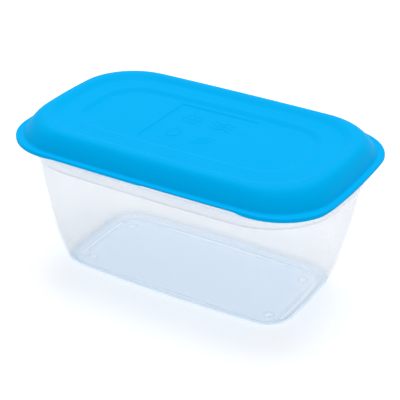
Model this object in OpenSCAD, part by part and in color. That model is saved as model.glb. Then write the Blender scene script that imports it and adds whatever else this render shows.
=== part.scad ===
// Loaf-shaped food box: a translucent tub with a curved wall, and a soft lid that snaps over its rim.
// The frame: +Z up, X along the box, the origin on the table under the middle of the tub.

/* [Lid] */
// Length of the lid, lip to lip
lid_l = 200; // [180:1:230]
// Width of the lid, lip to lip
lid_w = 124.4; // [112:0.2:150]
// Corner radius of the lid's outline
lid_r = 33.8; // [28:0.2:38]
// How far the long sides of the lid bow outwards
lid_bow_long = 1.7; // [0.5:0.1:4]
// How far the short sides of the lid bow outwards
lid_bow_short = 4.4; // [0.5:0.1:6]
// Wall thickness of the lid
lid_t = 1.0; // [0.8:0.1:1.2]
// Height of the dome's crest over the flange
dome_h = 10.2; // [9:0.1:12]
// Width of the flat flange outside the dome
flange_w = 3.4; // [3.2:0.1:3.8]
// Slope of the dome's wall where it rises from the flange, in degrees
dome_slope = 66; // [64:1:72]
// Drop from the crest to the ring, and from the ring to the middle panel
step_drop = [1.9, 1.4]; // [0.5:0.1:2.5]
// How far the lip hangs lower at the corners
corner_drop = 0.6; // [0:0.1:1]
// How far the lip is cut away at the finger relief on each long side
relief_rise = 0.5; // [0:0.1:0.8]

/* [Tub] */
// Height of the shoulder, where the body ends and the neck band begins
shoulder_z = 72.5; // [60:0.5:90]
// Wall thickness of the tub
tub_t = 1.1; // [0.8:0.1:1.4]
// Thickness of the tub's floor
floor_t = 1.2; // [1:0.1:1.6]
// How far the body's wall leans in from the shoulder to the fillet at the base
lean = 18.2; // [12:0.2:22]
// Radius of the fillet round the base
base_fillet = 6.6; // [4:0.2:9]
// Corner radius of the tub at the shoulder and at the base
tub_r = [41.4, 16.7]; // [14:0.1:42]
// How far the tub's long sides and short sides bow outwards
tub_bow = [2.9, 1.7]; // [0.5:0.1:4]

/* [Snap] */
// Free space between the closed lid and the tub
clearance = 0.3; // [0.3:0.05:0.5]
// How far the lid's snap bead reaches in under the tub's rim
snap_bite = 0.6; // [0.3:0.1:0.8]
// Length of the sealing skirt that hangs inside the tub's rim
skirt_h = 6.5; // [5:0.5:8]

/* [Hidden] */
half_l = lid_l / 2;
half_w = lid_w / 2;
lip_h = 1.6;                          // height of the lip's upright edge
lip_z = shoulder_z + 10.7;            // underside of the lip
flange_z = lip_z + lip_h;             // top of the flange
crest_z = flange_z + dome_h;          // highest line of the lid
dome_w = 8.6;                         // from the dome's foot in to its crest
dome_pull = [6.2, 3.9];               // how strongly its curve leaves the foot and meets the crest
crest_in = flange_w + dome_w;         // inset of the crest
ring_z = crest_z - step_drop[0];
panel_z = ring_z - step_drop[1];
step_in = [[14, 20], [29, 34.2]];     // insets where each step starts and ends
step_r = [[33.8, 29], [24, 18]];      // corner radii where each step starts and ends
neck_in = flange_w + 3.5;             // inset of the neck's outer face
rim_in = flange_w + 2.2;              // inset of the rim bead's outermost line
rim_z = crest_z - 5.2;                // top of the tub's rim
shoulder_in = flange_w + 2.77;        // inset of the shoulder's outer edge
fillet_start_z = 4.1;                 // where the body's wall meets the base fillet
side_n = [3, 5];                      // segments in half a short side and half a long side
corner_n = 10;                        // segments in a corner

// A point on a circle, and a row of points along an arc that leaves out its last one.
function on_circle(c, r, a) = c + r * [cos(a), sin(a)];
function arc(c, r, a0, a1, n) = [for (i = [0 : n - 1]) on_circle(c, r, a0 + (a1 - a0) * i / n)];

// A quarter of a rectangle with round corners and bowed sides: three arcs that are tangent where they meet.
// a and b are half its length and width, r its corner radius, bl and bs the bows of its long and short sides.
function quarter(a, b, r, bl, bs) =
    let (
        big = [(a * a + bl * bl) / (2 * bl), (b * b + bs * bs) / (2 * bs)],
        c_long = [0, b - big[0]],
        c_short = [a - big[1], 0],
        d = norm(c_short - c_long),
        along = (c_short - c_long) / d,
        x = (pow(big[0] - r, 2) - pow(big[1] - r, 2) + d * d) / (2 * d),
        y = sqrt(max(pow(big[0] - r, 2) - x * x, 0)),
        c = c_long + along * x + [along[1], -along[0]] * y,
        a_short = atan2(c[1] - c_short[1], c[0] - c_short[0]),
        a_long = atan2(c[1] - c_long[1], c[0] - c_long[0])
    )
    concat(
        arc(c_short, big[1], 0, a_short, side_n[0]),
        arc(c, r, a_short, a_long, corner_n),
        arc(c_long, big[0], a_long, 90, side_n[1])
    );

// The whole outline, anticlockwise from the middle of the +X side.
function mirrored(half, m) = [for (i = [len(half) - 1 : -1 : 0]) [half[i][0] * m[0], half[i][1] * m[1]]];
function outline(a, b, r, bl, bs) =
    let (
        q = quarter(a, b, r, bl, bs),
        n = len(q),
        up = concat(q, [[0, b]], mirrored([for (i = [1 : n - 1]) q[i]], [-1, 1]))
    )
    concat(up, [[-a, 0]], mirrored([for (i = [1 : len(up) - 1]) up[i]], [1, -1]));

// One ring of a lid wall: inset from the lip, height and corner radius.
function lid_ring(s, z, r) =
    [for (p = outline(half_l - s, half_w - s, r, lid_bow_long, lid_bow_short)) [p[0], p[1], z]];

// One ring of a tub wall, with the tub's own bows and an added half-width.
function tub_ring(s, z, r, extra = 0) =
    [for (p = outline(half_l - s, half_w - s + extra, r, tub_bow[0], tub_bow[1])) [p[0], p[1], z]];

// A smooth ramp from 0 to 1.
function ramp(u) = let (v = min(max(u, 0), 1)) v * v * (3 - 2 * v);
function mix(a, b, u) = a + (b - a) * u;

// The lip's edge: lower at the corners, and raised over a finger relief on half of each long side.
function lip_shift(p) =
    let (
        corner = ramp((min(abs(p[0]) / half_l, abs(p[1]) / half_w) - 0.55) / 0.1),
        side = sign(p[1]) * p[0],
        relief = abs(p[1]) > half_w * 0.9 ? ramp(-side / 2) * ramp((60 + side) / 2) : 0
    )
    [p[0], p[1], p[2] - corner * corner_drop + (1 - corner) * relief * relief_rise];
function lip_ring(s, z, r) = [for (p = lid_ring(s, z, r)) lip_shift(p)];

// A closed skin over a stack of rings, with a flat cap on the first and the last.
module skin(rings) {
    n = len(rings[0]);
    m = len(rings);
    points = [for (ring = rings) for (p = ring) p];
    sides = [
        for (j = [0 : m - 2]) for (i = [0 : n - 1])
            let (k = (i + 1) % n)
            each [
                [j * n + i, j * n + k, (j + 1) * n + k],
                [j * n + i, (j + 1) * n + k, (j + 1) * n + i]
            ]
    ];
    first = [for (i = [n - 1 : -1 : 0]) i];
    last = [for (i = [0 : n - 1]) (m - 1) * n + i];
    polyhedron(points = points, faces = concat([first], sides, [last]), convexity = 10);
}

// The dome's cross-section: a cubic curve from the flange (0) to the crest (1), moved in by t.
function bezier(p, u) =
    p[0] * pow(1 - u, 3) + p[1] * 3 * u * pow(1 - u, 2) + p[2] * 3 * u * u * (1 - u) + p[3] * pow(u, 3);
dome_curve = [
    [flange_w, flange_z],
    [flange_w + dome_pull[0] * cos(dome_slope), flange_z + dome_pull[0] * sin(dome_slope)],
    [crest_in - dome_pull[1], crest_z],
    [crest_in, crest_z]
];
function dome(u, t) =
    let (
        tangent = bezier(dome_curve, min(u + 0.01, 1)) - bezier(dome_curve, max(u - 0.01, 0)),
        inward = [tangent[1], -tangent[0]] / norm(tangent)
    )
    bezier(dome_curve, u) + inward * t;
function dome_ring(u, t, r) = let (p = dome(u, t)) lid_ring(p[0], p[1], r);

// A step down towards the middle of the lid, as rings between two insets.
function step_rings(k, z0, z1, t, us) = [
    for (u = us) lid_ring(mix(step_in[k][0], step_in[k][1], u), mix(z0, z1, ramp(u)) - t,
        mix(step_r[k][0], step_r[k][1], u) - t * 0.5)
];

// The soft lid: panel, ring, crest, dome, flange and lip outside, then the same wall from beneath,
// with the snap bead on the outer wall and the sealing skirt that hangs inside the rim.
module lid() {
    us = [0, 0.25, 0.5, 0.75, 1];
    su = [1, 0.75, 0.5, 0.25, 0];
    r_in = lid_r - lid_t;
    bite_in = rim_in + snap_bite;
    skirt_in = neck_in + tub_t + clearance;
    skirt_z = rim_z + 1.2;
    top = concat(
        step_rings(1, ring_z, panel_z, 0, su),
        step_rings(0, crest_z, ring_z, 0, su),
        [for (u = [1, 0.88, 0.76, 0.64, 0.52, 0.4, 0.26, 0.1]) dome_ring(u, 0, lid_r)],
        [
            lid_ring(flange_w - 0.5, flange_z, lid_r),
            lid_ring(1.9, flange_z - 0.15, lid_r),
            lid_ring(0.5, flange_z, lid_r),
            lid_ring(0, flange_z - 0.4, lid_r),
            lip_ring(0, lip_z + 0.3, lid_r),
            lip_ring(0.25, lip_z, lid_r)
        ]
    );
    under = concat(
        [
            lip_ring(0.8, lip_z, lid_r),
            lip_ring(1.1, lip_z + 0.4, lid_r),
            lid_ring(1.5, flange_z - lid_t - 0.05, lid_r - 0.5),
            lid_ring(flange_w + 1, flange_z - lid_t, r_in),
            lid_ring(bite_in, flange_z - 0.2, r_in - 0.5),
            lid_ring(bite_in, flange_z + 0.3, r_in - 0.5)
        ],
        [for (u = [0.12, 0.2, 0.3, 0.4, 0.5]) dome_ring(u, lid_t, r_in)],
        [
            lid_ring(skirt_in, skirt_z + 0.35, r_in - 1.1),
            lid_ring(skirt_in + 0.2, rim_z - skirt_h + 1, r_in - 1.3),
            lid_ring(skirt_in + 0.6, rim_z - skirt_h, r_in - 1.7),
            lid_ring(skirt_in + 1.1, rim_z - skirt_h + 0.6, r_in - 2.1),
            lid_ring(skirt_in + 1.3, skirt_z + 0.9, r_in - 2.2),
            lid_ring(crest_in, crest_z - lid_t, r_in)
        ],
        step_rings(0, crest_z, ring_z, lid_t, us),
        step_rings(1, ring_z, panel_z, lid_t, us)
    );
    color([0, 0.63, 0.94])
    skin(concat(top, under));
}

// The body's wall at u, from 0 at the shoulder to 1 at the base fillet: its inset and height.
function lean_at(u) = lean * (0.862 * u - 0.283 * u * u + 0.421 * u * u * u);
function body_in(u) = shoulder_in + lean_at(u);
function body_z(u) = mix(shoulder_z, fillet_start_z, u);
function body_ring(u, t) =
    tub_ring(body_in(u) + t, body_z(u), mix(tub_r[0], tub_r[1], u) - t, 0.95 * u);

// The base fillet at angle a, from the wall's own slope to flat at 90 degrees, moved in by t.
wall_slope = 22.6;
function fillet_ring(a, t) =
    let (
        s = body_in(1) + base_fillet * (cos(wall_slope) - cos(a)) + t * cos(a),
        z = base_fillet * (1 - sin(a)) + t * sin(a)
    )
    tub_ring(s, z, tub_r[1] - 0.8 * (s - body_in(1)), 0.95);

// The tub: the flat base, the base fillet, the curved wall, the shoulder, the neck band and the rim bead
// outside, then the same wall inside down to the floor.
module tub() {
    neck_r = lid_r - 0.8;
    outer_us = [1, 0.92, 0.84, 0.74, 0.62, 0.5, 0.38, 0.26, 0.14, 0.03];
    inner_us = [0, 0.12, 0.26, 0.4, 0.55, 0.7, 0.85, 1];
    outside = concat(
        [for (a = [90, 78, 64, 50, 36]) fillet_ring(a, 0)],
        [for (u = outer_us) body_ring(u, u < 0.1 ? 0.5 : 0)],
        [
            tub_ring(shoulder_in, shoulder_z + 0.5, tub_r[0]),
            tub_ring(shoulder_in, shoulder_z + 2.2, tub_r[0] - 1),
            lid_ring(shoulder_in + 0.1, shoulder_z + 4.6, lid_r + 1.5),
            lid_ring(neck_in, shoulder_z + 5.2, neck_r),
            lid_ring(neck_in, rim_z - 4.1, neck_r),
            lid_ring(rim_in, rim_z - 3.4, neck_r + 0.4),
            lid_ring(rim_in, rim_z - 3.0, neck_r + 0.4)
        ],
        [for (u = [0.16, 0.22, 0.28]) dome_ring(u, lid_t + clearance + 0.05, neck_r)],
        [
            lid_ring(neck_in + 0.1, rim_z - 0.5, neck_r - 0.2),
            lid_ring(neck_in + 0.5, rim_z, neck_r - 0.4)
        ]
    );
    inside = concat(
        [
            lid_ring(neck_in + tub_t - 0.2, rim_z, neck_r - 0.8),
            lid_ring(neck_in + tub_t, rim_z - 0.3, neck_r - tub_t),
            lid_ring(neck_in + tub_t, shoulder_z + 5.0, neck_r - tub_t),
            lid_ring(shoulder_in + tub_t + 0.1, shoulder_z + 3.9, lid_r + 0.4),
            tub_ring(shoulder_in + tub_t, shoulder_z + 2.0, tub_r[0] - 1 - tub_t)
        ],
        [for (u = inner_us) body_ring(u, u < 0.1 ? tub_t + 0.2 : tub_t)],
        [for (a = [36, 52, 70, 90]) fillet_ring(a, a < 90 ? tub_t : floor_t)]
    );
    rings = concat(outside, inside);
    color([0.93, 0.95, 0.97, 0.45])
    skin([for (i = [len(rings) - 1 : -1 : 0]) rings[i]]);
}

tub();
lid();
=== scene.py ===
"""Looks of a loaf-shaped food box: a translucent tub and a soft blue lid that snaps over its rim.

Both mouldings are surfaces worked out from a profile carried round a bowed outline. Inside the
script sizes are in millimetres, with Z up and X along the box, and a mesh is made in metres.
"""

import math

import bpy
import numpy as np
from mathutils import Matrix, Vector


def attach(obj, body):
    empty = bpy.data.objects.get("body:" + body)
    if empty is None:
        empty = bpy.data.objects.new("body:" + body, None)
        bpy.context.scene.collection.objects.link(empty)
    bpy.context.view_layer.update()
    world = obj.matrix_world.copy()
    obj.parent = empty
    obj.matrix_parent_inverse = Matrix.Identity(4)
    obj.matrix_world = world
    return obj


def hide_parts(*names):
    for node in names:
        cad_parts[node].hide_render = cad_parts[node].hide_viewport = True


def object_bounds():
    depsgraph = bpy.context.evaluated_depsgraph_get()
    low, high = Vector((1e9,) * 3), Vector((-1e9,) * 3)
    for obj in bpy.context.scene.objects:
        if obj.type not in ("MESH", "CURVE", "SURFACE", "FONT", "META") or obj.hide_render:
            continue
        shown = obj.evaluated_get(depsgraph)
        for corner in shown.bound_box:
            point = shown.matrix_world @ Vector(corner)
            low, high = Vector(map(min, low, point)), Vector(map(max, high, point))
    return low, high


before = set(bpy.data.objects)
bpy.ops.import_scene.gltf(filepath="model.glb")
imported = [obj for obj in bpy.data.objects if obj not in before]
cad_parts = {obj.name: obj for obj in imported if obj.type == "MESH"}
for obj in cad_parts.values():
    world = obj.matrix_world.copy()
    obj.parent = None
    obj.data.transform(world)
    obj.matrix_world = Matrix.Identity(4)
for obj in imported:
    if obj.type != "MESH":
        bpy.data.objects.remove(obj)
cad_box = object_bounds()
scene = bpy.context.scene

MM = 0.001

# ---------------------------------------------------------------- sizes, in millimetres

HALF_L = cad_box[1].x / MM  # half the lid's length, out to its lip
HALF_W = cad_box[1].y / MM  # half the lid's width
CREST_Z = cad_box[1].z / MM  # the dome's highest line

LIP_H = 1.6
DOME_H = 10.2
FLANGE_W = 3.4
DOME_W = 8.6
DOME_SLOPE = math.radians(66)
DOME_PULL = (6.6, 3.7)  # how strongly the dome leaves the flange and meets the crest
LID_T = 1.0
LID_BOWS = (1.7, 4.4)  # how far the long and the short sides bow out
LID_R = 33.8
FLANGE_Z = CREST_Z - DOME_H
LIP_Z = FLANGE_Z - LIP_H
RING_Z = CREST_Z - 1.9
PANEL_Z = RING_Z - 1.4
CORNER_DROP = 0.6
RELIEF_RISE = 0.5
STEP_INSETS = ((14.0, 20.0), (29.0, 34.2))  # where each step down to the panel starts and ends
STEP_RADII = ((33.0, 29.0), (24.0, 18.0))  # corner radii at those insets
PLATE_HALF = 25.3  # half the side of the sunk square in the lid's panel
PLATE_DEPTH = 0.45

TUB_BOWS = (2.9, 1.7)
TUB_T = 1.1
TUB_R = (41.4, 16.7)
SHOULDER_Z = LIP_Z - 10.7
SHOULDER_IN = FLANGE_W + 2.77
NECK_IN = FLANGE_W + 3.5
RIM_IN = FLANGE_W + 2.2
RIM_Z = CREST_Z - 5.2
LEAN = 18.2
FILLET_Z = 4.1
FILLET_R = 6.6
WALL_SLOPE = math.radians(22.6)
FOOT_WIDTH = 0.95  # added half-width of the base
BASE_RECESS = 0.7
FOOT_PAD_R = 3.4

RING_SEGS = (44, 20, 56)  # points on half a short side, a corner and half a long side


# ---------------------------------------------------------------- outlines and shells


def ramp(u):
    """A smooth step from 0 to 1: 3u^2 - 2u^3, held at its ends."""
    u = np.clip(u, 0.0, 1.0)
    return u * u * (3 - 2 * u)


def rings(half_x, half_y, z, radius, bow_long, bow_short):
    """Rings of points, one for each row of the values given.

    A ring is a rectangle with bowed sides and round corners. A side with half-length a and bow h is
    an arc of radius (a^2 + h^2) / 2h. The corner arc touches both side arcs from inside, so its
    centre is where two circles cross: each about a side's centre, with the side's radius less the
    corner's radius.
    """
    cols = np.broadcast_arrays(half_x, half_y, z, radius, bow_long, bow_short)
    a, b, height, r, h_long, h_short = [np.atleast_1d(c).astype(float)[:, None] for c in cols]
    big_long = (a * a + h_long * h_long) / (2 * h_long)
    big_short = (b * b + h_short * h_short) / (2 * h_short)
    long_y, short_x = b - big_long, a - big_short
    gap = np.hypot(short_x, long_y)
    ux, uy = short_x / gap, -long_y / gap
    along = ((big_long - r) ** 2 - (big_short - r) ** 2 + gap * gap) / (2 * gap)
    across = np.sqrt(np.maximum((big_long - r) ** 2 - along * along, 0))
    cx, cy = ux * along + uy * across, long_y + uy * along - ux * across
    turn_short = np.arctan2(cy, cx - short_x)
    turn_long = np.arctan2(cy - long_y, cx)
    t1, t2, t3 = [np.arange(n)[None, :] / n for n in RING_SEGS]
    w1, w2 = turn_short * t1, turn_short + (turn_long - turn_short) * t2
    w3 = turn_long + (math.pi / 2 - turn_long) * t3
    x = np.hstack([short_x + big_short * np.cos(w1), cx + r * np.cos(w2), big_long * np.cos(w3)])
    y = np.hstack([big_short * np.sin(w1), cy + r * np.sin(w2), long_y + big_long * np.sin(w3)])
    zero = np.zeros_like(a)
    half_ring_x = np.hstack([x, zero, -x[:, :0:-1]])
    half_ring_y = np.hstack([y, b, y[:, :0:-1]])
    full_x = np.hstack([half_ring_x, -a, half_ring_x[:, :0:-1]])
    full_y = np.hstack([half_ring_y, zero, -half_ring_y[:, :0:-1]])
    return np.stack([full_x, full_y, np.broadcast_to(height, full_x.shape)], axis=2)


def rounded_path(stops, cut, steps=5):
    """A path of straight runs between stops whose corners are rounded.

    Each row of stops is a stop's values, and cut is how far before and after it its corner is
    rounded off, with a quadratic curve that has the stop as its middle control point.
    """
    stops, cut = np.asarray(stops, float), np.asarray(cut, float)
    back, ahead = stops[:-2] - stops[1:-1], stops[2:] - stops[1:-1]
    near, far = np.linalg.norm(back[:, :2], axis=1), np.linalg.norm(ahead[:, :2], axis=1)
    inner = cut[1:-1]
    start = stops[1:-1] + back * np.minimum(inner / near, 0.48)[:, None]
    end = stops[1:-1] + ahead * np.minimum(inner / far, 0.48)[:, None]
    t = np.linspace(0, 1, steps)[None, :, None]
    curve = (
        start[:, None] * (1 - t) ** 2 + stops[1:-1][:, None] * 2 * t * (1 - t) + end[:, None] * t**2
    )
    return np.vstack([stops[:1], curve.reshape(-1, stops.shape[1]), stops[-1:]])


def shell(name, loops):
    """A closed skin over a stack of rings. The first and the last ring close on their middle point."""
    m, n = loops.shape[:2]
    first, last = loops[0].mean(axis=0), loops[-1].mean(axis=0)
    points = np.vstack([loops.reshape(-1, 3), first, last]) * MM
    j, i = np.meshgrid(np.arange(m - 1), np.arange(n), indexing="ij")
    k = (i + 1) % n
    quads = np.stack([j * n + i, j * n + n + i, j * n + n + k, j * n + k], axis=2).reshape(-1, 4)
    i = np.arange(n)
    k = (i + 1) % n
    base = (m - 1) * n
    fans = np.vstack(
        [
            np.stack([np.full(n, m * n), i, k], axis=1),
            np.stack([np.full(n, m * n + 1), base + k, base + i], axis=1),
        ]
    )
    mesh = bpy.data.meshes.new(name)
    mesh.vertices.add(len(points))
    mesh.vertices.foreach_set("co", points.ravel())
    mesh.loops.add(quads.size + fans.size)
    mesh.loops.foreach_set("vertex_index", np.concatenate([quads.ravel(), fans.ravel()]))
    mesh.polygons.add(len(quads) + len(fans))
    starts = np.concatenate([np.arange(len(quads)) * 4, quads.size + np.arange(len(fans)) * 3])
    mesh.polygons.foreach_set("loop_start", starts)
    mesh.polygons.foreach_set("use_smooth", np.ones(len(starts), bool))
    mesh.update(calc_edges=True)
    mesh.validate()
    piece = bpy.data.objects.new(name, mesh)
    scene.collection.objects.link(piece)
    return piece


# ---------------------------------------------------------------- the lid


def segment_distance(x, y, x0, y0, x1, y1):
    """How far points are from the straight line between two ends."""
    dx, dy = x1 - x0, y1 - y0
    t = np.clip(((x - x0) * dx + (y - y0) * dy) / (dx * dx + dy * dy), 0, 1)
    return np.hypot(x - x0 - t * dx, y - y0 - t * dy)


def snow_mark(x, y, size):
    """Six arms from a middle, each with a pair of short twigs: the distance to the nearest line."""
    turn = np.arctan2(y, x)
    turn = (turn + math.pi / 6) % (math.pi / 3) - math.pi / 6
    reach = np.hypot(x, y)
    u, v = reach * np.cos(turn), np.abs(reach * np.sin(turn))
    arm = segment_distance(u, v, 0, 0, size, 0)
    twig = segment_distance(u, v, size * 0.55, 0, size * 0.83, size * 0.27)
    return np.minimum(arm, twig)


def wave_mark(x, y, size):
    """Three waves one above another: the distance to a sine curve, over its slope."""
    step = size * 0.62
    row = np.clip(np.round(y / step), -1, 1)
    phase = x * math.pi * 1.5 / size
    off = np.abs(y - row * step - np.sin(phase) * size * 0.16) / np.hypot(1, 0.75 * np.cos(phase))
    return np.maximum(off, np.abs(x) - size * 0.95)


def drop_mark(x, y, size):
    """A drop: the outline of a circle that narrows to a point at its top."""
    r = size * 0.52
    low = y + size * 0.35
    side = r * np.cos(np.clip((low - r * 0.3) / (size * 1.75) * math.pi / 2, 0, math.pi / 2)) ** 1.4
    bowl, flanks = np.abs(np.hypot(x, low - r * 0.3) - r), np.abs(np.abs(x) - side) * 0.85
    body = np.where(low < r * 0.3, bowl, flanks)
    return np.where(low > size * 1.35 + r * 0.3, low - size * 1.35 - r * 0.3 + body, body)


def leaf_mark(x, y, size):
    """A leaf: two arcs that cross at its tips, and a straight rib between them."""
    u, v = (x + y) * math.sqrt(0.5), np.abs(y - x) * math.sqrt(0.5)
    r = size * 1.15
    edge = np.abs(np.hypot(u, v + r * 0.55) - r)
    edge = np.where(np.abs(u) > r * 0.835, np.hypot(np.abs(u) - r * 0.835, v), edge)
    return np.minimum(edge, segment_distance(u, v, -size * 1.25, 0, size * 0.6, 0))


def plate_relief(x, y):
    """Height of the sunk square in the panel: its wall, a line inside one side, and four marks."""
    reach = np.maximum(np.abs(x), np.abs(y))
    sunk = -PLATE_DEPTH * ramp((PLATE_HALF - reach) / 0.45)
    groove = -0.16 * ramp(1 - np.abs(reach - PLATE_HALF - 0.3) / 0.45)
    line = -0.16 * ramp(1 - np.abs(x - PLATE_HALF + 2.6) / 0.45)
    line = line * ramp((PLATE_HALF - 1.6 - np.abs(y)) / 0.6)
    cell, size = 10.6, 6.2
    far = np.minimum.reduce(
        [
            snow_mark(x + cell, y - cell, size),
            wave_mark(x - cell + 1.2, y - cell, size),
            drop_mark(x + cell, y + cell, size),
            leaf_mark(x - cell + 1.2, y + cell, size),
        ]
    )
    return sunk + groove + line + 0.38 * ramp((0.95 - far) / 0.5)


def lip_shift(points):
    """Lowers the lip at the corners, and raises it over a finger relief on half of each long side."""
    x, y = points[..., 0], points[..., 1]
    corner = ramp((np.minimum(np.abs(x) / HALF_L, np.abs(y) / HALF_W) - 0.55) / 0.1)
    side = np.sign(y) * x
    relief = np.where(np.abs(y) > HALF_W * 0.9, ramp(-side / 2) * ramp((60 + side) / 2), 0)
    return (1 - corner) * relief * RELIEF_RISE - corner * CORNER_DROP


def dome_points(u, thick):
    """Insets and heights on the dome, a cubic curve from the flange (0) to the crest (1).

    The inside is the same curve moved in along its normal by the wall's thickness.
    """
    stops = np.array(
        [
            [FLANGE_W, FLANGE_Z],
            [
                FLANGE_W + DOME_PULL[0] * math.cos(DOME_SLOPE),
                FLANGE_Z + DOME_PULL[0] * math.sin(DOME_SLOPE),
            ],
            [FLANGE_W + DOME_W - DOME_PULL[1], CREST_Z],
            [FLANGE_W + DOME_W, CREST_Z],
        ]
    )
    u = np.asarray(u, float)[:, None]
    spread = np.hstack([(1 - u) ** 3, 3 * u * (1 - u) ** 2, 3 * u * u * (1 - u), u**3])
    slope = np.hstack([(1 - u) ** 2, 2 * u * (1 - u), u * u]) @ (stops[1:] - stops[:-1])
    slope /= np.linalg.norm(slope, axis=1, keepdims=True)
    return spread @ stops + thick * slope[:, ::-1] * (1, -1)


def step_path(insets, radii, heights, thick, count):
    """A soft step down towards the middle: insets, heights and corner radii of its rings."""
    u = np.linspace(0, 1, count)
    s = insets[0] + (insets[1] - insets[0]) * u
    z = heights[0] + (heights[1] - heights[0]) * ramp(u) - thick
    r = radii[0] + (radii[1] - radii[0]) * u - thick * 0.5
    return np.stack([s, z, r], axis=1)


def with_radius(points, radius):
    """Adds one corner radius to rows of inset and height."""
    return np.hstack([points, np.full((len(points), 1), radius)])


def lid_rings(path):
    """Rings of the lid from rows of inset, height and corner radius."""
    s, z, r = path.T
    return rings(HALF_L - s, HALF_W - s, z, r, *LID_BOWS)


def make_lid():
    """The lid as one closed skin: from the middle of the panel out to the lip, then back beneath.

    The panel's rings turn from the step's outline into squares, so that the sunk square's sides run
    along them.
    """
    ring_step = (STEP_INSETS[0], STEP_RADII[0], (CREST_Z, RING_Z))
    panel_step = (STEP_INSETS[1], STEP_RADII[1], (RING_Z, PANEL_Z))
    # panel: concentric squares, then a blend to the inner end of the second step
    square = np.concatenate([np.linspace(0.3, 24.2, 48), np.linspace(24.6, 26.4, 13)])
    middle = rings(square, square, PANEL_Z, np.minimum(0.35, square * 0.3), 0.01, 0.01)
    middle[..., 2] += plate_relief(middle[..., 0], middle[..., 1])
    u = np.linspace(0, 1, 9)[1:-1]
    end_x, end_y, end_r = HALF_L - STEP_INSETS[1][1], HALF_W - STEP_INSETS[1][1], STEP_RADII[1][1]
    blend = rings(
        26.4 + (end_x - 26.4) * u,
        26.4 + (end_y - 26.4) * u,
        PANEL_Z,
        0.35 + (end_r - 0.35) * u,
        0.01 + (LID_BOWS[0] - 0.01) * u,
        0.01 + (LID_BOWS[1] - 0.01) * u,
    )
    top = np.vstack(
        [
            step_path(*panel_step, 0, 14)[::-1],
            step_path(*ring_step, 0, 13)[::-1],
        ]
    )
    dome = with_radius(dome_points(np.linspace(1, 0.12, 21), 0), LID_R)
    flange = rounded_path(
        [
            dome[-1],
            [FLANGE_W, FLANGE_Z - 0.05, LID_R],
            [1.9, FLANGE_Z - 0.15, LID_R],
            [0.95, FLANGE_Z + 0.1, LID_R],
            [0, FLANGE_Z - 0.1, LID_R],
            [0, FLANGE_Z - 1.0, LID_R],
        ],
        [0, 1.1, 0.5, 0.35, 0.4, 0],
        5,
    )[1:]
    lip = rounded_path(
        [
            [0, LIP_Z + 0.5, LID_R],
            [0, LIP_Z, LID_R],
            [1.1, LIP_Z, LID_R],
            [1.1, LIP_Z + 0.5, LID_R],
        ],
        [0, 0.25, 0.25, 0],
    )
    wall_in = with_radius(dome_points(np.linspace(0.12, 0.5, 8), LID_T), LID_R - LID_T)
    bite, inner_r = RIM_IN + 0.6, LID_R - LID_T
    skirt, skirt_z = NECK_IN + TUB_T + 0.3, RIM_Z + 1.2
    bead = rounded_path(
        [
            [1.5, FLANGE_Z - LID_T - 0.05, LID_R - 0.5],
            [FLANGE_W + 1.0, FLANGE_Z - LID_T, inner_r],
            [bite, FLANGE_Z - 0.2, inner_r - 0.5],
            [bite, FLANGE_Z + 0.3, inner_r - 0.5],
            wall_in[0],
            wall_in[1],
        ],
        [0, 0.3, 0.25, 0.25, 0.3, 0],
        4,
    )
    arch = wall_in[1:]
    plug = rounded_path(
        [
            arch[-1],
            [skirt, skirt_z + 0.35, inner_r - 1.1],
            [skirt + 0.15, RIM_Z - 5.4, inner_r - 1.3],
            [skirt + 0.5, RIM_Z - 6.5, inner_r - 1.7],
            [skirt + 1.0, RIM_Z - 6.2, inner_r - 2.1],
            [skirt + 1.3, skirt_z + 0.9, inner_r - 2.2],
            [FLANGE_W + DOME_W, CREST_Z - LID_T, inner_r],
        ],
        [0, 0.4, 0.4, 0.3, 0.4, 0.5, 0],
        3,
    )[1:]
    under = np.vstack(
        [
            step_path(*ring_step, LID_T, 6),
            step_path(*panel_step, LID_T, 6),
        ]
    )
    edge = lid_rings(lip)
    edge[..., 2] += lip_shift(edge)
    outside = [middle, blend, lid_rings(top), lid_rings(dome), lid_rings(flange), edge]
    inside = [lid_rings(bead), lid_rings(arch[1:]), lid_rings(plug), lid_rings(under)]
    loops = np.concatenate(outside + inside)
    return shell("lid_moulding", loops)


# ---------------------------------------------------------------- the tub


def tub_rings(path):
    """Rings of the tub from rows of inset, height, corner radius, added half-width and the two bows."""
    s, z, r, wide, bow_long, bow_short = path.T
    return rings(HALF_L - s, HALF_W - s + wide, z, r, bow_long, bow_short)


def body_path(u, thick):
    """The curved wall from the shoulder (0) to the base fillet (1).

    It leans in by a cubic curve, and its corners tighten evenly on the way down.
    """
    s = SHOULDER_IN + LEAN * (0.862 * u - 0.283 * u**2 + 0.421 * u**3) + thick
    z = SHOULDER_Z + (FILLET_Z - SHOULDER_Z) * u
    r = TUB_R[0] + (TUB_R[1] - TUB_R[0]) * u - thick
    ones = np.ones_like(u)
    return np.stack([s, z, r, FOOT_WIDTH * u, TUB_BOWS[0] * ones, TUB_BOWS[1] * ones], axis=1)


def fillet_path(angles, thick):
    """The rounded edge round the base, from the wall's own slope to flat at 90 degrees."""
    w = np.radians(angles)
    s0 = body_path(np.array([1.0]), 0)[0, 0]
    s = s0 + FILLET_R * (math.cos(WALL_SLOPE) - np.cos(w)) + thick * np.cos(w)
    z = FILLET_R * (1 - np.sin(w)) + thick * np.sin(w)
    r = TUB_R[1] - 0.8 * (s - s0)
    ones = np.ones_like(w)
    return np.stack([s, z, r, FOOT_WIDTH * ones, TUB_BOWS[0] * ones, TUB_BOWS[1] * ones], axis=1)


def flat_rings(edge, z, count):
    """Rings that shrink evenly from an edge's values to a fiftieth of them, all at height z."""
    s, _, r, wide, bow_long, bow_short = edge
    half_x, half_y = HALF_L - s, HALF_W - s + wide
    u = np.linspace(1, 0.02, count)
    return rings(half_x * u, half_y * u, z, r * u, bow_long * u, bow_short * u)


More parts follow.
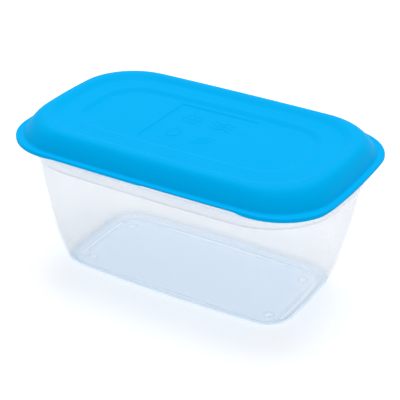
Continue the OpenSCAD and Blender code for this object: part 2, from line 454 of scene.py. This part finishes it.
def foot_relief(points, base_x, base_y):
    """Raises the base's hollow inside the foot, all but four round pads near its corners."""
    x, y = points[..., 0], points[..., 1]
    reach = np.maximum(np.abs(x) / base_x, np.abs(y) / base_y)
    hollow = ramp((1 - reach) / 0.035)
    pad = np.hypot(np.abs(x) - base_x * 0.9, np.abs(y) - base_y * 0.72)
    return BASE_RECESS * hollow * (1 - ramp((FOOT_PAD_R + 0.5 - pad) / 1.0))


def tab_relief(points):
    """Presses in a half-moon under the shoulder at two opposite corners, for a fingertip."""
    x, y, z = points[..., 0], points[..., 1], points[..., 2]
    side = np.sign(x)
    along = (x * side - 84) * 0.62 - (-y * side - 45) * 0.78
    deep = (SHOULDER_Z - 0.6 - z) / 5.0
    inside = 1 - np.hypot(along / 8.5, np.clip(deep, 0, None))
    on = (deep > 0) & (x * y < 0)
    return np.where(on, 0.9 * ramp(inside / 0.2), 0)


def make_tub():
    """The tub as one closed skin: from the base's middle up the outside, over the rim and down inside.

    The rings are handed over in reverse, so that the faces point outwards.
    """
    neck_r = LID_R - 0.8
    lid_like, tub_like = list(LID_BOWS), list(TUB_BOWS)
    fillet = fillet_path(np.linspace(90, 30, 13), 0)
    wall_u = np.concatenate([np.linspace(1, 0.06, 30), [0.035, 0.02]])
    wall = body_path(wall_u, 0)
    shoulder = rounded_path(
        [
            wall[-1],
            [SHOULDER_IN + 0.45, SHOULDER_Z + 0.1, TUB_R[0] - 0.4, 0, *tub_like],
            [SHOULDER_IN + 0.0, SHOULDER_Z + 0.45, TUB_R[0], 0, *tub_like],
            [SHOULDER_IN + 0.0, SHOULDER_Z + 2.1, TUB_R[0] - 1.4, 0, *tub_like],
            [SHOULDER_IN + 0.35, SHOULDER_Z + 4.4, LID_R + 3, 0, 2.1, 3.4],
            [SHOULDER_IN + 0.2, SHOULDER_Z + 5.2, LID_R + 2, 0, 1.9, 4.0],
            [NECK_IN, SHOULDER_Z + 6.0, neck_r, 0, *lid_like],
            [NECK_IN, RIM_Z - 4.2, neck_r, 0, *lid_like],
            [RIM_IN, RIM_Z - 3.5, neck_r + 0.4, 0, *lid_like],
            [RIM_IN + 0.05, RIM_Z - 2.9, neck_r + 0.4, 0, *lid_like],
            [NECK_IN + 0.02, RIM_Z - 0.7, neck_r - 0.1, 0, *lid_like],
            [NECK_IN + 0.45, RIM_Z, neck_r - 0.3, 0, *lid_like],
            [NECK_IN + TUB_T, RIM_Z, neck_r - 1.0, 0, *lid_like],
            [NECK_IN + TUB_T, SHOULDER_Z + 5.2, neck_r - TUB_T, 0, *lid_like],
            [SHOULDER_IN + TUB_T + 0.1, SHOULDER_Z + 3.9, LID_R + 2, 0, 2.1, 3.4],
            [SHOULDER_IN + TUB_T, SHOULDER_Z + 1.5, TUB_R[0] - 1.2 - TUB_T, 0, *tub_like],
            body_path(np.array([0.06]), TUB_T)[0],
        ],
        [0, 0.35, 0.3, 0.8, 0.5, 0.4, 0.4, 0.4, 0.25, 0.3, 0.3, 0.2, 0.3, 0.6, 0.8, 0.8, 0],
        4,
    )[1:]
    inner_wall = body_path(np.linspace(0.06, 1, 24), TUB_T)[1:]
    inner_fillet = fillet_path(np.linspace(30, 90, 10), TUB_T + 0.1)
    foot_edge, floor_edge = fillet[0], inner_fillet[-1]
    base = flat_rings(foot_edge, 0.0, 44)[::-1]
    hollow_in = foot_edge[0] + 2.6
    base[..., 2] += foot_relief(base, HALF_L - hollow_in, HALF_W + FOOT_WIDTH - hollow_in)
    floor = flat_rings(floor_edge, floor_edge[1], 12)[1:]
    skin = tub_rings(np.vstack([wall, shoulder]))
    inward = tab_relief(skin)
    away = skin[..., :2] / np.linalg.norm(skin[..., :2], axis=2, keepdims=True)
    skin[..., :2] -= away * inward[..., None]
    loops = np.concatenate(
        [base[:-1], tub_rings(fillet), skin, tub_rings(inner_wall), tub_rings(inner_fillet), floor]
    )
    return shell("tub_moulding", loops[::-1])


# ---------------------------------------------------------------- materials


def socket(group, name, kind, flow, value=None):
    """Adds a named socket to a node group and sets its starting value."""
    made = group.interface.new_socket(name=name, in_out=flow, socket_type=kind)
    if value is not None:
        made.default_value = value


def moulded_grain():
    """A node group for moulded plastic: slow waviness, a fine skin texture and faint cloudiness."""
    group = bpy.data.node_groups.new("moulded_grain", "ShaderNodeTree")
    starts = {"Wave Size": 30.0, "Wave Height": 0.2, "Grain Size": 1500.0, "Grain Height": 0.1}
    for name, value in starts.items():
        socket(group, name, "NodeSocketFloat", "INPUT", value)
    socket(group, "Cloud", "NodeSocketFloat", "OUTPUT")
    socket(group, "Grain", "NodeSocketFloat", "OUTPUT")
    socket(group, "Normal", "NodeSocketVector", "OUTPUT")
    nodes, link = group.nodes, group.links.new
    given, out = nodes.new("NodeGroupInput"), nodes.new("NodeGroupOutput")
    place = nodes.new("ShaderNodeTexCoord")
    wave, grain = nodes.new("ShaderNodeTexNoise"), nodes.new("ShaderNodeTexNoise")
    wave.inputs["Detail"].default_value = 2.0
    grain.inputs["Detail"].default_value = 3.0
    for noise, scale in ((wave, "Wave Size"), (grain, "Grain Size")):
        link(place.outputs["Object"], noise.inputs["Vector"])
        link(given.outputs[scale], noise.inputs["Scale"])
    slow, fine = nodes.new("ShaderNodeBump"), nodes.new("ShaderNodeBump")
    slow.inputs["Distance"].default_value = 0.002
    fine.inputs["Distance"].default_value = 0.0001
    link(given.outputs["Wave Height"], slow.inputs["Strength"])
    link(given.outputs["Grain Height"], fine.inputs["Strength"])
    link(wave.outputs["Fac"], slow.inputs["Height"])
    link(grain.outputs["Fac"], fine.inputs["Height"])
    link(slow.outputs["Normal"], fine.inputs["Normal"])
    link(wave.outputs["Fac"], out.inputs["Cloud"])
    link(grain.outputs["Fac"], out.inputs["Grain"])
    link(fine.outputs["Normal"], out.inputs["Normal"])
    return group


GRAIN = moulded_grain()


def plastic(name, low, high, rough, grain_values):
    """A Principled material whose colour clouds between two tints and whose gloss follows the grain."""
    mat = bpy.data.materials.new(name)
    mat.use_nodes = True
    nodes, link = mat.node_tree.nodes, mat.node_tree.links.new
    shader = nodes["Principled BSDF"]
    grain = nodes.new("ShaderNodeGroup")
    grain.node_tree = GRAIN
    for key, value in grain_values.items():
        grain.inputs[key].default_value = value
    tint = nodes.new("ShaderNodeMix")
    tint.data_type = "RGBA"
    tint.inputs["A"].default_value = (*low, 1)
    tint.inputs["B"].default_value = (*high, 1)
    link(grain.outputs["Cloud"], tint.inputs["Factor"])
    link(tint.outputs["Result"], shader.inputs["Base Color"])
    gloss = nodes.new("ShaderNodeMapRange")
    gloss.inputs["To Min"].default_value, gloss.inputs["To Max"].default_value = rough
    link(grain.outputs["Grain"], gloss.inputs["Value"])
    link(gloss.outputs["Result"], shader.inputs["Roughness"])
    link(grain.outputs["Normal"], shader.inputs["Normal"])
    return mat, shader, nodes, link


def lid_material():
    """Soft satin blue polyethylene, a little translucent, with a faint painted glow that stands in for
    the light passing through it.
    """
    mat, shader, _, _ = plastic(
        "blue_polyethylene",
        (0.0, 0.25, 0.49),
        (0.0, 0.27, 0.52),
        (0.42, 0.5),
        {"Wave Size": 26.0, "Wave Height": 0.10, "Grain Size": 1400.0, "Grain Height": 0.25},
    )
    shader.inputs["Specular IOR Level"].default_value = 0.02
    shader.inputs["Specular Tint"].default_value = (0.1, 0.5, 1.0, 1)
    # Painted light: a faint blue glow in place of light passing through the lid.
    shader.inputs["Emission Color"].default_value = (0.0, 0.135, 0.3, 1)
    shader.inputs["Emission Strength"].default_value = 1.0
    return mat


BAND_SPAN = 100.0  # the height, in millimetres, that the tub's bands are spread over

# The tub's finish changes with height: the base, its foot edge, the shoulder and the neck are made
# milkier than the walls and carry painted light. Each row is a height in millimetres and the value
# there.
# What the plastic's colour is multiplied by: a warm grey on the walls; a painted blue light on the
# base;
# a painted dark band of contact shadow at the foot edge, with a painted highlight above it; painted
# shade lines at the shoulder and at the neck's step; and painted highlights over the shoulder and up
# the neck:
TUB_TINTS_AND_PAINTED_LIGHT = (
    (0.0, (0.84, 0.93, 1.0)),
    (1.35, (0.84, 0.93, 1.0)),
    (1.5, (0.72, 0.79, 0.86)),
    (2.4, (0.72, 0.79, 0.86)),
    (3.0, (0.97, 0.99, 1.0)),
    (5.0, (0.97, 0.99, 1.0)),
    (8.0, (0.96, 0.95, 0.94)),
    (71.9, (0.96, 0.95, 0.94)),
    (72.4, (0.55, 0.63, 0.72)),
    (73.1, (0.6, 0.68, 0.77)),
    (73.6, (1.0, 1.0, 1.0)),
    (75.0, (1.0, 1.0, 1.0)),
    (76.5, (0.82, 0.87, 0.92)),
    (78.5, (0.8, 0.86, 0.92)),
    (79.5, (1.0, 1.0, 1.0)),
    (95.0, (1.0, 1.0, 1.0)),
)
# How much milkier the foot edge gets where it turns away, which makes its painted dark band of contact
# shadow show:
TUB_FOOT = (
    (1.3, 0.0),
    (1.45, 1.3),
    (2.6, 1.3),
    (3.2, 0.0),
)
# Painted light: a glow given off by the plastic, standing in for light passed through the lid and the
# walls, bluest on the base:
TUB_PAINTED_GLOWS = (
    (0.0, (0.0, 0.06, 0.12)),
    (0.25, (0.0, 0.06, 0.12)),
    (0.55, (0.08, 0.2, 0.3)),
    (1.6, (0.08, 0.2, 0.3)),
    (3.0, (0.045, 0.05, 0.055)),
    (95.0, (0.03, 0.03, 0.035)),
)
# Milkiness added to that of a plain wall; at the foot, shoulder and neck it also makes the painted
# bands there show more:
TUB_VEILS = (
    (0.0, 0.14),
    (0.25, 0.14),
    (0.55, 0.0),
    (1.6, 0.0),
    (2.2, 0.12),
    (3.5, 0.1),
    (6.0, 0.0),
    (71.9, 0.0),
    (72.4, 0.26),
    (73.1, 0.22),
    (73.6, 0.16),
    (75.0, 0.12),
    (76.5, 0.1),
    (78.8, 0.12),
    (79.8, 0.5),
    (95.0, 0.4),
)


def height_level(nodes, link):
    """Height over the table as a share of BAND_SPAN, from Object coordinates."""
    place, split = nodes.new("ShaderNodeTexCoord"), nodes.new("ShaderNodeSeparateXYZ")
    level = nodes.new("ShaderNodeMapRange")
    level.inputs["From Max"].default_value = BAND_SPAN * MM
    link(place.outputs["Object"], split.inputs["Vector"])
    link(split.outputs["Z"], level.inputs["Value"])
    return level.outputs["Result"]


def height_bands(nodes, link, level, stops):
    """A colour ramp over the height. A stop's value is a colour, or one number for a grey."""
    bands = nodes.new("ShaderNodeValToRGB")
    points = bands.color_ramp.elements
    while len(points) < len(stops):
        points.new(1.0)
    for point, (height, value) in zip(points, stops):
        point.position, point.color = height / BAND_SPAN, (*np.broadcast_to(value, 3), 1)
    link(level, bands.inputs["Fac"])
    return bands.outputs["Color"]


def tub_material():
    """Translucent polypropylene: clear face on, milkier where it turns away, with height bands
    of painted shade, painted highlight and painted glow.

    Its alpha is a veil that grows as the surface turns away, plus the foot edge's share of that
    turn, plus the veil of its height.
    """
    mat, shader, nodes, link = plastic(
        "clear_polypropylene",
        (0.88, 0.87, 0.87),
        (0.9, 0.89, 0.89),
        (0.22, 0.3),
        {"Wave Size": 22.0, "Wave Height": 0.10, "Grain Size": 900.0, "Grain Height": 0.12},
    )
    level = height_level(nodes, link)
    # The height bands multiply the plastic's colour with painted shade, painted highlights and a
    # painted blue light on the base.
    bands = nodes.new("ShaderNodeMix")
    bands.data_type, bands.blend_type = "RGBA", "MULTIPLY"
    bands.inputs["Factor"].default_value = 1.0
    link(shader.inputs["Base Color"].links[0].from_socket, bands.inputs["A"])
    link(height_bands(nodes, link, level, TUB_TINTS_AND_PAINTED_LIGHT), bands.inputs["B"])
    link(bands.outputs["Result"], shader.inputs["Base Color"])
    turn = nodes.new("ShaderNodeLayerWeight")
    turn.inputs["Blend"].default_value = 0.2
    veil = nodes.new("ShaderNodeMapRange")
    veil.inputs["To Min"].default_value = 0.15
    veil.inputs["To Max"].default_value = 0.5
    link(turn.outputs["Facing"], veil.inputs["Value"])
    full = nodes.new("ShaderNodeMath")
    full.operation, full.use_clamp = "ADD", True
    edge = nodes.new("ShaderNodeMath")
    edge.operation = "MULTIPLY_ADD"
    link(turn.outputs["Facing"], edge.inputs[0])
    link(height_bands(nodes, link, level, TUB_FOOT), edge.inputs[1])
    link(veil.outputs["Result"], edge.inputs[2])
    link(edge.outputs["Value"], full.inputs[0])
    link(height_bands(nodes, link, level, TUB_VEILS), full.inputs[1])
    link(full.outputs["Value"], shader.inputs["Alpha"])
    # Painted light: the tub glows by its height bands.
    link(height_bands(nodes, link, level, TUB_PAINTED_GLOWS), shader.inputs["Emission Color"])
    shader.inputs["Emission Strength"].default_value = 1.0
    shader.inputs["Specular IOR Level"].default_value = 0.5
    return mat


def dress(piece, body, node, material):
    """Gives a piece its finish and its body, and hides the CAD node it stands for."""
    piece.data.materials.append(material)
    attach(piece, body)
    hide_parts(node)


# ---------------------------------------------------------------- camera, light and floor

CAM_AZIMUTH, CAM_ELEVATION, CAM_ROLL = (math.radians(v) for v in (30.09, 28.45, 0.88))
CAM_DISTANCE = 713.7
CAM_TARGET = Vector((0.0, 2.77, 44.98))
CAM_LENS = 110.32


def make_camera():
    """A long lens from the front right, a little above the lid."""
    back = Vector(
        (
            math.sin(CAM_AZIMUTH) * math.cos(CAM_ELEVATION),
            -math.cos(CAM_AZIMUTH) * math.cos(CAM_ELEVATION),
            math.sin(CAM_ELEVATION),
        )
    )
    level = Vector((math.cos(CAM_AZIMUTH), math.sin(CAM_AZIMUTH), 0))
    rise = back.cross(level)
    right = level * math.cos(CAM_ROLL) + rise * math.sin(CAM_ROLL)
    up = rise * math.cos(CAM_ROLL) - level * math.sin(CAM_ROLL)
    camera = bpy.data.objects.new("camera", bpy.data.cameras.new("camera"))
    camera.data.lens = CAM_LENS
    camera.data.sensor_width = 36
    camera.matrix_world = Matrix.Translation((CAM_TARGET + back * CAM_DISTANCE) * MM) @ Matrix(
        (right, up, back)
    ).transposed().to_4x4()
    scene.collection.objects.link(camera)
    scene.camera = camera


def area_light(name, place, aim, size, power, colour):
    """A square soft light at a place, turned to face another."""
    lamp = bpy.data.lights.new(name, "AREA")
    lamp.shape = "SQUARE"
    lamp.size, lamp.energy, lamp.color = size, power, colour
    holder = bpy.data.objects.new(name, lamp)
    holder.location = place
    holder.rotation_euler = (Vector(place) - Vector(aim)).to_track_quat("Z", "Y").to_euler()
    scene.collection.objects.link(holder)


def make_studio():
    """A white world, one large soft light above and behind, and a pale floor.

    The world is white to look at, and lights the scene with less than half of that.
    """
    world = bpy.data.worlds.new("studio")
    world.use_nodes = True
    sky = world.node_tree.nodes["Background"]
    sky.inputs["Color"].default_value = (1.0, 1.0, 1.0, 1)
    nodes, link = world.node_tree.nodes, world.node_tree.links.new
    path, glow = nodes.new("ShaderNodeLightPath"), nodes.new("ShaderNodeMapRange")
    glow.inputs["To Min"].default_value, glow.inputs["To Max"].default_value = 0.47, 1.0
    link(path.outputs["Is Camera Ray"], glow.inputs["Value"])
    link(glow.outputs["Result"], sky.inputs["Strength"])
    scene.world = world
    area_light("softbox", (-0.1, 0.33, 1.5), (0, 0, 0.05), 1.2, 21.5, (1.0, 1.0, 1.0))
    half = 3.0
    mesh = bpy.data.meshes.new("floor")
    corners = [(-half, -half, 0), (half, -half, 0), (half, half, 0), (-half, half, 0)]
    mesh.from_pydata(corners, [], [(0, 1, 2, 3)])
    floor = bpy.data.objects.new("floor", mesh)
    paint = bpy.data.materials.new("pale_floor")
    paint.use_nodes = True
    shader = paint.node_tree.nodes["Principled BSDF"]
    shader.inputs["Base Color"].default_value = (0.47, 0.47, 0.475, 1)
    shader.inputs["Roughness"].default_value = 0.8
    shader.inputs["Specular IOR Level"].default_value = 0.1
    shader.inputs["Emission Color"].default_value = (0.98, 0.99, 1.0, 1)
    shader.inputs["Emission Strength"].default_value = 0.68
    mesh.materials.append(paint)
    scene.collection.objects.link(floor)
    scene.view_settings.view_transform = "Standard"


make_camera()
make_studio()
dress(make_tub(), "tub", "tub", tub_material())
dress(make_lid(), "lid", "lid", lid_material())
